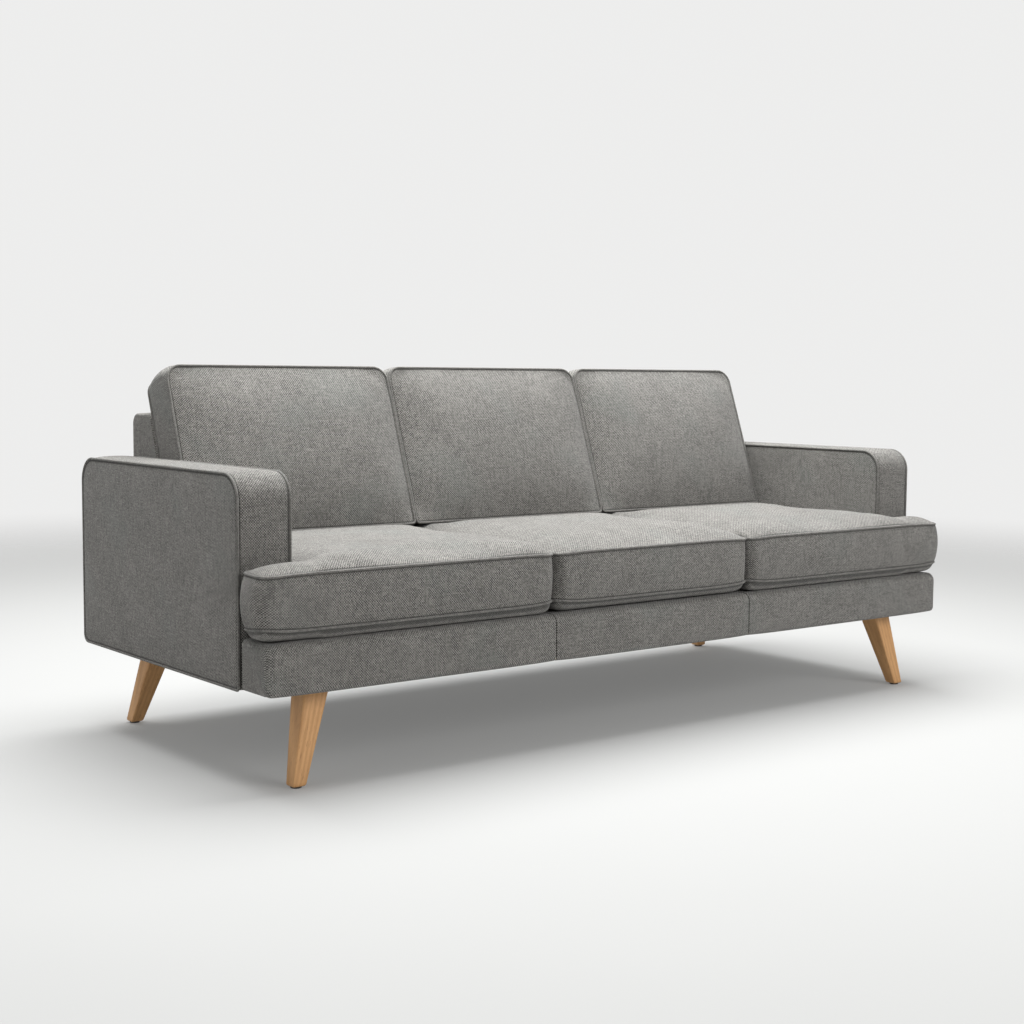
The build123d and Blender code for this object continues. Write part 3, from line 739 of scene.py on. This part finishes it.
def boxedCushion(plan, place, lifts, bulge, height):
    # Points: the first panel, the second, then rows of the wall. place(p, q, share, lift) gives x, y, z
    # from a plan point, the share of the way from the first seam to the second, and a lift off the
    # panel. The wall bulges as 4s(1 - s) to the power 0.75.
    p, q, loop, normal = plan["p"], plan["q"], plan["loop"], plan["normal"]
    count, around, wallRows = len(p), len(loop), cushion["wallRows"]
    share = np.concatenate([[0, 0.05], np.linspace(0.15, 0.85, wallRows - 2), [0.95, 1]])
    puff = (4 * share * (1 - share)) ** 0.75
    wall = [place(p[loop] + normal[:, 0] * bulge * k, q[loop] + normal[:, 1] * bulge * k,
                  np.full(around, s), 0.0) for s, k in zip(share[1:-1], puff[1:-1])]
    points = np.concatenate([place(p, q, np.zeros(count), lifts[0]), place(p, q, np.ones(count), lifts[1])]
                            + wall)
    ring = np.concatenate([[loop], 2 * count + np.arange(wallRows * around).reshape(wallRows, around),
                           [count + loop]])
    faces = np.concatenate([plan["quads"], count + plan["quads"][:, ::-1],
                            ring.ravel()[gridFaces(wallRows + 2, around)]])
    flatUv = np.stack([plan["a"], plan["b"]], 1)
    deepUv = np.stack([plan["a"], plan["b"] + np.abs(lifts[1])], 1)
    wallUv = gridUv(np.broadcast_to(plan["length"], (wallRows + 2, around + 1)), share * height)
    uv = np.concatenate([flatUv[plan["quads"]].reshape(-1, 2),
                         deepUv[plan["quads"][:, ::-1]].reshape(-1, 2), wallUv])
    return points, faces, uv, loop, count + loop, count


def sewCushion(name, body, nodes, shape, away, limit, caps):
    # Makes the mesh, marks its seams as sharp folds and lays the piping along the folds.
    points, faces, uv, firstSeam, secondSeam, count = shape
    piece = weld(makePiece(name, points, faces, uv, upholstery, body), False)
    seam = np.zeros(len(points), int)
    seam[firstSeam], seam[secondSeam] = 1, 2
    edges = np.zeros(len(piece.data.edges) * 2, int)
    piece.data.edges.foreach_get("vertices", edges)
    ends = seam[edges.reshape(-1, 2)]
    fold = ((ends[:, 0] == ends[:, 1]) & (ends[:, 0] > 0)).astype(np.float32)
    piece.data.attributes.new("crease_edge", "FLOAT", "EDGE").data.foreach_set("value", fold)
    # Points on the seams get painted shade, a dark line in the fabric along each seam.
    markSeamShade(piece, seam > 0)
    for word, line, direction in (("first", firstSeam, away[0]), ("second", secondSeam, away[1])):
        pipe(f"{name}_piping_{word}", smoothLoop(points[line]), unit(smoothLoop(direction)), body)
    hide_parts(*nodes)
    cap = np.full((len(points), 1), caps[1])
    cap[:count], cap[count:2 * count] = caps[0], caps[2]
    cushionPieces.append((piece, points, seam > 0, limit, cap))


# Seat cushions

seat = {
    "topSeam": 0.451,
    "bottomSeam": 0.337,
    "crown": 26 * mm,
    "sag": 24 * mm,
    "bulge": 4.5 * mm,
    "endBulge": 7 * mm,
    "cornerRadius": 32 * mm,
    "reach": 36 * mm,
    "sideReach": 27 * mm,
    "sagReach": 8 * mm,
    "turn": 34 * mm,
    "topDip": 6 * mm,
    "earFullness": 0.75,
    "bottomRise": 10 * mm,
    "caps": (11 * mm, 8 * mm, 1.5 * mm),
    "fill": 0.85,
    "highest": 0.488,
    "underBack": seatTop - 0.5 * mm,
    "lowest": railHigh.z + 2.6 * mm,
}
frontY, rearY = seatLow.y, seatHigh.y
earBackY = armFront - 20 * mm
mainX = armInner - 4.5 * mm
outerX = -seatLow.x + 7 * mm
nearX = splitX + 1 * mm


def seatPlace(side):
    # The seams turn towards each other at the front corners: the top one dips and the bottom one rises.
    drop = seat["topSeam"] - seat["bottomSeam"]

    def place(p, q, share, lift):
        ends = np.minimum(p - nearX, outerX - p) if side else splitX - np.abs(p)
        corner = (1 - swell(ends, seat["turn"])) * (1 - swell(q - frontY, seat["turn"]))
        dip = corner * (seat["bottomRise"] * share - seat["topDip"] * (1 - share))
        return np.c_[(side or 1) * p, q, seat["topSeam"] - drop * share + lift + dip]
    return place


def seatCushion(word, side):
    # The panel is a rectangle, and on the outer cushions also an ear in front of the arm. The top
    # rises by crown * fullness, and the bottom sags by sag * fullness over a shorter reach.
    radius = seat["cornerRadius"]
    if side:
        a, ia = spread([nearX, nearX + radius, mainX - radius, mainX, outerX - radius, outerX],
                       cushion["gap"])
        b, jb = spread([frontY, frontY + radius, earBackY - radius, earBackY, rearY - radius, rearY],
                       cushion["gap"])
        route = [(0, 0), (ia[5], 0), (ia[5], jb[3]), (ia[3], jb[3]), (ia[3], jb[5]), (0, jb[5])]
        corners = [(nearX, frontY, -1, -1, radius), (outerX, frontY, 1, -1, radius),
                   (outerX, earBackY, 1, 1, radius), (mainX, rearY, 1, 1, radius),
                   (nearX, rearY, -1, 1, radius)]
        plan = panelPlan(a, b, [tuple(map(int, r)) for r in route], corners, (int(ia[3]), int(jb[3])))
    else:
        half = splitX - 1 * mm
        a, ia = spread([-half, -half + radius, half - radius, half], cushion["gap"])
        b, jb = spread([frontY, frontY + radius, rearY - radius, rearY], cushion["gap"])
        route = [(0, 0), (ia[3], 0), (ia[3], jb[3]), (0, jb[3])]
        corners = [(-half, frontY, -1, -1, radius), (half, frontY, 1, -1, radius),
                   (half, rearY, 1, 1, radius), (-half, rearY, -1, 1, radius)]
        plan = panelPlan(a, b, [tuple(map(int, r)) for r in route], corners)
    u, v = plan["a"], plan["b"]

    def fullness(reach, sideReach, earFullness):
        # The product of the swell from each side, taken for the main panel and for the ear's strip,
        # and the two put together as 1 - (1 - main) * (1 - ear).
        ends = swell(v - frontY, reach)
        if not side:
            return swell(half - np.abs(u), sideReach) * ends * swell(rearY - v, reach)
        ends = ends * swell(u - nearX, sideReach)
        main = ends * swell(mainX - u, sideReach) * swell(rearY - v, reach)
        ear = ends * swell(outerX - u, sideReach) * swell(earBackY - v, reach)
        ear = ear / ear.max() * earFullness
        return 1 - (1 - main) * (1 - ear)

    full = fullness(seat["reach"], seat["sideReach"], seat["earFullness"])
    low = fullness(seat["sagReach"], seat["sagReach"], 1)
    plane = np.c_[u * (side or 1), v, np.zeros(len(u))]
    crown = seat["crown"] * full + waves(plane, 1.6 * mm, 11 + side, 0.3) * full
    sag = -seat["sag"] * low
    # The wall swells less at the splits and not at all against the arm and the back.
    n = plan["normal"]
    lu, lv = plan["p"][plan["loop"]], plan["q"][plan["loop"]]
    tight = (lv > rearY - radius - 2 * mm) | (np.abs(lu - nearX) < 3 * mm) & (n[:, 0] < -0.5)
    if side:
        tight |= (np.abs(lu - mainX) < 3 * mm) & (lv > earBackY + 2 * mm)
    else:
        tight |= np.abs(n[:, 0]) > 0.5
    loose = seat["bulge"] + seat["endBulge"] * np.maximum(n[:, 0], 0) * bool(side)
    bulge = np.where(tight, 0.3 * mm, loose)
    for _ in range(2):
        bulge = (np.roll(bulge, 1) + 2 * bulge + np.roll(bulge, -1)) / 4
    place = seatPlace(side)
    shape = boxedCushion(plan, place, (crown, sag), bulge, seat["topSeam"] - seat["bottomSeam"])
    flat = np.c_[n[:, 0] * (side or 1), n[:, 1]] * pipingOut
    up = np.full(len(flat), pipingUp)

    def limit(points, start):
        # Neighbours, arms, back, deck and back cushions stop the cloth.
        x, y, z = points.T
        out = x * side if side else np.abs(x)
        if side:
            out = np.maximum(out, splitX + 0.5 * mm)
            out = np.where(start[:, 1] > earBackY + 8 * mm, np.minimum(out, mainX + 0.8 * mm), out)
            y = np.where((start[:, 0] * side > mainX + 4 * mm), np.minimum(y, armFront - 6 * mm), y)
            x = out * side
        else:
            x = np.clip(x, -splitX + 0.5 * mm, splitX - 0.5 * mm)
        y = np.minimum(y, rearY + 1 * mm)
        ease = np.clip((y - 0.02) / 0.08, 0, 1)
        roof = seat["highest"] + (seat["underBack"] - seat["highest"]) * ease * ease * (3 - 2 * ease)
        return np.c_[x, y, np.clip(z, seat["lowest"], roof)]

    sewCushion(f"seat_cushion_{word}", f"seat_cushion_{word}",
               [f"seat_cushion_cover_{word}", f"seat_cushion_core_{word}"], shape,
               (np.c_[flat, up], np.c_[flat, -up]), limit, seat["caps"])


for word, side in (("left", -1), ("middle", 0), ("right", 1)):
    seatCushion(word, side)
print("seat cushions sewn")


# Back cushions

rest = {
    "length": 0.420,
    "thickness": 106 * mm,
    "crown": 26 * mm,
    "bulge": 5 * mm,
    "topBulge": 8 * mm,
    "topRadius": 38 * mm,
    "footRadius": 6 * mm,
    "reach": 70 * mm,
    "caps": (12 * mm, 8 * mm, 8 * mm),
    "sideGap": 4.5 * mm,
    "seamInset": 3.2 * mm,
    "clear": 3.8 * mm,
    "fill": 0.7,
}
footY = kneeY - (rest["thickness"] + 2 * mm) / np.cos(rake) - 1 * mm
sinRake, cosRake = np.sin(rake), np.cos(rake)


def leanPlace(p, q, share, lift):
    # q runs from 0 at the seat to 1 at the top. share goes from the front seam to the rear one, and
    # lift is towards the front. The foot is level with the seat, and the top is square to the rake.
    across = share * rest["thickness"] - lift
    base = rest["thickness"] * share
    foot = (rest["clear"] + base * sinRake) / cosRake
    along = foot + (rest["length"] - foot) * q
    return np.c_[p, footY + along * sinRake + across * cosRake,
                 seatTop + along * cosRake - across * sinRake]


def backCushion(word, low, high, seed):
    # A rectangle from low to high in X. Its front rises by crown times the swell from all four seams,
    # made 1 at the fullest, and its rear is flat against the back.
    length = rest["length"]
    top, foot = rest["topRadius"], rest["footRadius"]
    a, ia = spread([low, low + top, high - top, high], cushion["gap"])
    b, jb = spread([0, foot, length - top, length], cushion["gap"])
    route = [(0, 0), (ia[3], 0), (ia[3], jb[3]), (0, jb[3])]
    corners = [(low, 0, -1, -1, foot), (high, 0, 1, -1, foot), (high, length, 1, 1, top),
               (low, length, -1, 1, top)]
    plan = panelPlan(a, b, [tuple(map(int, r)) for r in route], corners)
    u, v, reach = plan["a"], plan["b"], rest["reach"]
    full = swell(u - low, reach) * swell(high - u, reach) * swell(v, reach) * swell(length - v, reach)
    full = full / full.max()
    plane = np.c_[u, v, np.zeros(len(u))]
    crown = rest["crown"] * full + waves(plane, 3.2 * mm, seed, 0.28) * full
    n = plan["normal"]
    place = lambda p, q, share, lift: leanPlace(p, q / length, share, lift)
    bulge = rest["bulge"] + rest["topBulge"] * np.maximum(n[:, 1], 0)
    shape = boxedCushion(plan, place, (crown, 0 * full), bulge, rest["thickness"])
    flat = np.c_[n[:, 0], n[:, 1] * sinRake, n[:, 1] * cosRake] * pipingOut
    forward = np.array([0, -cosRake, sinRake]) * pipingUp
    lowClip = low - rest["seamInset"] + 0.2 * mm
    highClip = high + rest["seamInset"] - 0.2 * mm

    def limit(points, start):
        # Neighbours and arms at the sides, the seat below and the back behind stop the cloth.
        x, y, z = points.T
        along = (y - footY) * sinRake + (z - seatTop) * cosRake
        across = (y - footY) * cosRake - (z - seatTop) * sinRake
        ease = np.clip((z - backHigh.z - 5 * mm) / 0.06, 0, 1)
        across = np.minimum(across, rest["thickness"] + 1 * mm + 9 * mm * ease * ease)
        y, z = footY + along * sinRake + across * cosRake, seatTop + along * cosRake - across * sinRake
        return np.c_[np.clip(x, lowClip, highClip), y, np.maximum(z, seatTop + 0.6 * mm)]

    sewCushion(f"back_cushion_{word}", f"back_cushion_{word}",
               [f"back_cushion_cover_{word}", f"back_cushion_filling_{word}"], shape,
               (flat + forward, flat - forward), limit, rest["caps"])


seamX = splitX + 0.5 * mm + rest["seamInset"]
farX = armInner - rest["sideGap"] - rest["seamInset"]
backCushion("left", -farX, -seamX, 31)
backCushion("middle", -seamX + 1 * mm + 2 * rest["seamInset"], seamX - 1 * mm - 2 * rest["seamInset"], 32)
backCushion("right", seamX, farX, 33)
print("back cushions sewn")


# Filling the cushions

def calm(piece, values, held):
    # Evens out what the cloth gives: each point takes half of its own value and half of the mean of the
    # points joined to it, a few times over. Points on a seam stay at nothing.
    ends = np.zeros(len(piece.data.edges) * 2, int)
    piece.data.edges.foreach_get("vertices", ends)
    one, other = np.concatenate([ends[::2], ends[1::2]]), np.concatenate([ends[1::2], ends[::2]])
    joined = np.bincount(one, minlength=len(values))[:, None]
    for _ in range(cushion["calming"]):
        mean = np.zeros_like(values)
        np.add.at(mean, one, values[other])
        values = np.where(held[:, None], 0, 0.5 * values + 0.5 * mean / joined)
    return values


def fillCushions():
    # Cloth with air pressure, held at its seams. A point moves outwards by cap * tanh(swelling / cap),
    # and along the cloth by slip * tanh(sliding / slip), so no two points pass each other.
    scene = bpy.context.scene
    for piece, _, held, _, _ in cushionPieces:
        group = piece.vertex_groups.new(name="seams")
        group.add(np.nonzero(held)[0].tolist(), 1.0, "REPLACE")
        cloth = piece.modifiers.new("Cloth", "CLOTH")
        settings = cloth.settings
        settings.quality = 6
        settings.mass = 0.3
        settings.tension_stiffness = settings.compression_stiffness = cushion["stiffness"]
        settings.shear_stiffness = 6.0
        settings.bending_stiffness = cushion["bending"]
        settings.vertex_group_mass = group.name
        settings.use_pressure = True
        settings.uniform_pressure_force = cushion["pressure"]
        settings.shrink_min = -cushion["spare"]
        settings.effector_weights.gravity = 0
        cloth.point_cache.frame_start, cloth.point_cache.frame_end = 1, cushion["frames"]
    for step in range(1, cushion["frames"] + 1):
        scene.frame_set(step)
    for piece, start, held, limit, cap in cushionPieces:
        moved = start.copy()
        graph = bpy.context.evaluated_depsgraph_get()
        done = piece.evaluated_get(graph)
        filled = np.zeros(len(start) * 3)
        done.data.vertices.foreach_get("co", filled)
        move = filled.reshape(-1, 3) - start
        outward = np.zeros(len(start) * 3)
        piece.data.vertex_normals.foreach_get("vector", outward)
        outward = outward.reshape(-1, 3)
        swelling = calm(piece, np.sum(move * outward, 1)[:, None], held)
        sliding = calm(piece, move, held)
        sliding = sliding - np.sum(sliding * outward, 1)[:, None] * outward
        far = np.linalg.norm(sliding, axis=1)[:, None]
        print(piece.name, "greatest swelling", round(float(swelling.max()) / mm, 1), "mm")
        slip = cushion["slip"]
        moved = (start + outward * cap * np.tanh(swelling / cap)
                 + sliding * (slip * np.tanh(far / slip) / np.maximum(far, 1e-9)))
        moved = np.where(held[:, None], start, limit(moved, start))
        for modifier in list(piece.modifiers):
            piece.modifiers.remove(modifier)
        piece.vertex_groups.clear()
        piece.data.vertices.foreach_set("co", moved.astype(np.float32).ravel())
        piece.data.update()
        rounding = piece.modifiers.new("Subdivision", "SUBSURF")
        rounding.levels = rounding.render_levels = 1
    scene.frame_set(1)


fillCushions()
print("cushions filled")


# Floor, light and camera

studio = {
    "floorRadius": 9.0,
    "floor": (0.294, 0.294, 0.291, 1),
    "glow": 0.15,
    "air": (0.85, 0.85, 0.845, 1),
    "airLight": 0.52,
    "overhead": 445.0,
    "key": 114.0,
    "side": 18.0,
}


def layFloor():
    # A disc of rings, drawn in polar steps, that fades away towards its rim.
    radii = np.concatenate([[0.001], np.linspace(0.5, studio["floorRadius"], 24)])
    angle = np.linspace(0, 2 * np.pi, 97)[:-1]
    points = np.stack([np.outer(radii, np.cos(angle)), np.outer(radii, np.sin(angle)),
                       np.zeros((len(radii), len(angle)))], -1).reshape(-1, 3)
    mesh = bpy.data.meshes.new("studio_floor")
    mesh.from_pydata(points.tolist(), [], gridFaces(len(radii), len(angle))[:, ::-1].tolist())
    floor = bpy.data.objects.new("studio_floor", mesh)
    bpy.context.scene.collection.objects.link(floor)
    shade = Shade("paleFloor", Specular_IOR_Level=0.15, Emission_Strength=studio["glow"],
                  Emission_Color=(1, 1, 0.98, 1))
    place = shade.node("TexCoord", None, None, 3)
    distance = shade.node("VectorMath", {"operation": "LENGTH"}, {0: place}, 1)
    dust = shade.noise(place, 3.0, 4.0)
    colour = shade.mix(dust * 0.3, studio["floor"], tuple(c * 0.97 for c in studio["floor"][:3]) + (1,))
    shade.feed(shade.shader.inputs["Alpha"], 1 - shade.ramp(distance, 2.4, 6.5))
    mesh.materials.append(shade.finish(colour, 0.75 + dust * 0.1))


def hangLight(name, energy, size, place, aim, colour=(1, 1, 1)):
    # A rectangular lamp whose face looks from its place towards its aim.
    lamp = bpy.data.lights.new(name, "AREA")
    lamp.shape, lamp.size, lamp.size_y = "RECTANGLE", size[0], size[1]
    lamp.energy, lamp.color = energy, colour
    holder = bpy.data.objects.new(name, lamp)
    holder.location = place
    holder.rotation_euler = (Vector(aim) - Vector(place)).to_track_quat("-Z", "Y").to_euler()
    bpy.context.scene.collection.objects.link(holder)


layFloor()
hangLight("overheadSoftbox", studio["overhead"], (4.2, 3.4), (0.15, 0.62, 3.6), (0, 0.05, 0.3),
          (0.99, 1, 1))
hangLight("frontSoftbox", studio["key"], (3.0, 2.0), (1.2, -4.6, 2.4), (0, 0, 0.4))
hangLight("sideSoftbox", studio["side"], (2.0, 1.6), (-4.4, -0.8, 1.6), (-1, 0, 0.4))

world = bpy.data.worlds.new("studioAir")
bpy.context.scene.world = world
world.use_nodes = True
tree = world.node_tree
tree.nodes["Background"].inputs["Color"].default_value = studio["air"]
tree.nodes["Background"].inputs["Strength"].default_value = studio["airLight"]
seen = tree.nodes.new("ShaderNodeBackground")
seen.inputs["Color"].default_value = studio["air"]
ray, choose = tree.nodes.new("ShaderNodeLightPath"), tree.nodes.new("ShaderNodeMixShader")
tree.links.new(ray.outputs["Is Camera Ray"], choose.inputs[0])
tree.links.new(tree.nodes["Background"].outputs[0], choose.inputs[1])
tree.links.new(seen.outputs[0], choose.inputs[2])
tree.links.new(choose.outputs[0], tree.nodes["World Output"].inputs["Surface"])
bpy.context.scene.view_settings.view_transform = "Standard"

view = {"place": (-2.6135, -3.228, 0.8513), "yaw": 37.923, "pitch": 4.852, "roll": 0.418,
        "lens": 56.43, "sensor": 36.0}


def setCamera():
    # Forward from yaw and pitch; right is level; both right and up then turn by the roll.
    yaw, pitch, roll = (np.radians(view[key]) for key in ("yaw", "pitch", "roll"))
    forward = np.array([np.sin(yaw) * np.cos(pitch), np.cos(yaw) * np.cos(pitch), -np.sin(pitch)])
    right = np.array([np.cos(yaw), -np.sin(yaw), 0])
    up = np.cross(right, forward)
    axes = [right * np.cos(roll) + up * np.sin(roll), up * np.cos(roll) - right * np.sin(roll), -forward]
    lens = bpy.data.cameras.new("studioCamera")
    lens.lens, lens.sensor_width = view["lens"], view["sensor"]
    holder = bpy.data.objects.new("studioCamera", lens)
    turned = np.eye(4)
    turned[:3, :3], turned[:3, 3] = np.array(axes).T, view["place"]
    holder.matrix_world = Matrix(turned.tolist())
    bpy.context.scene.collection.objects.link(holder)
    bpy.context.scene.camera = holder


setCamera()

print("scene ready")
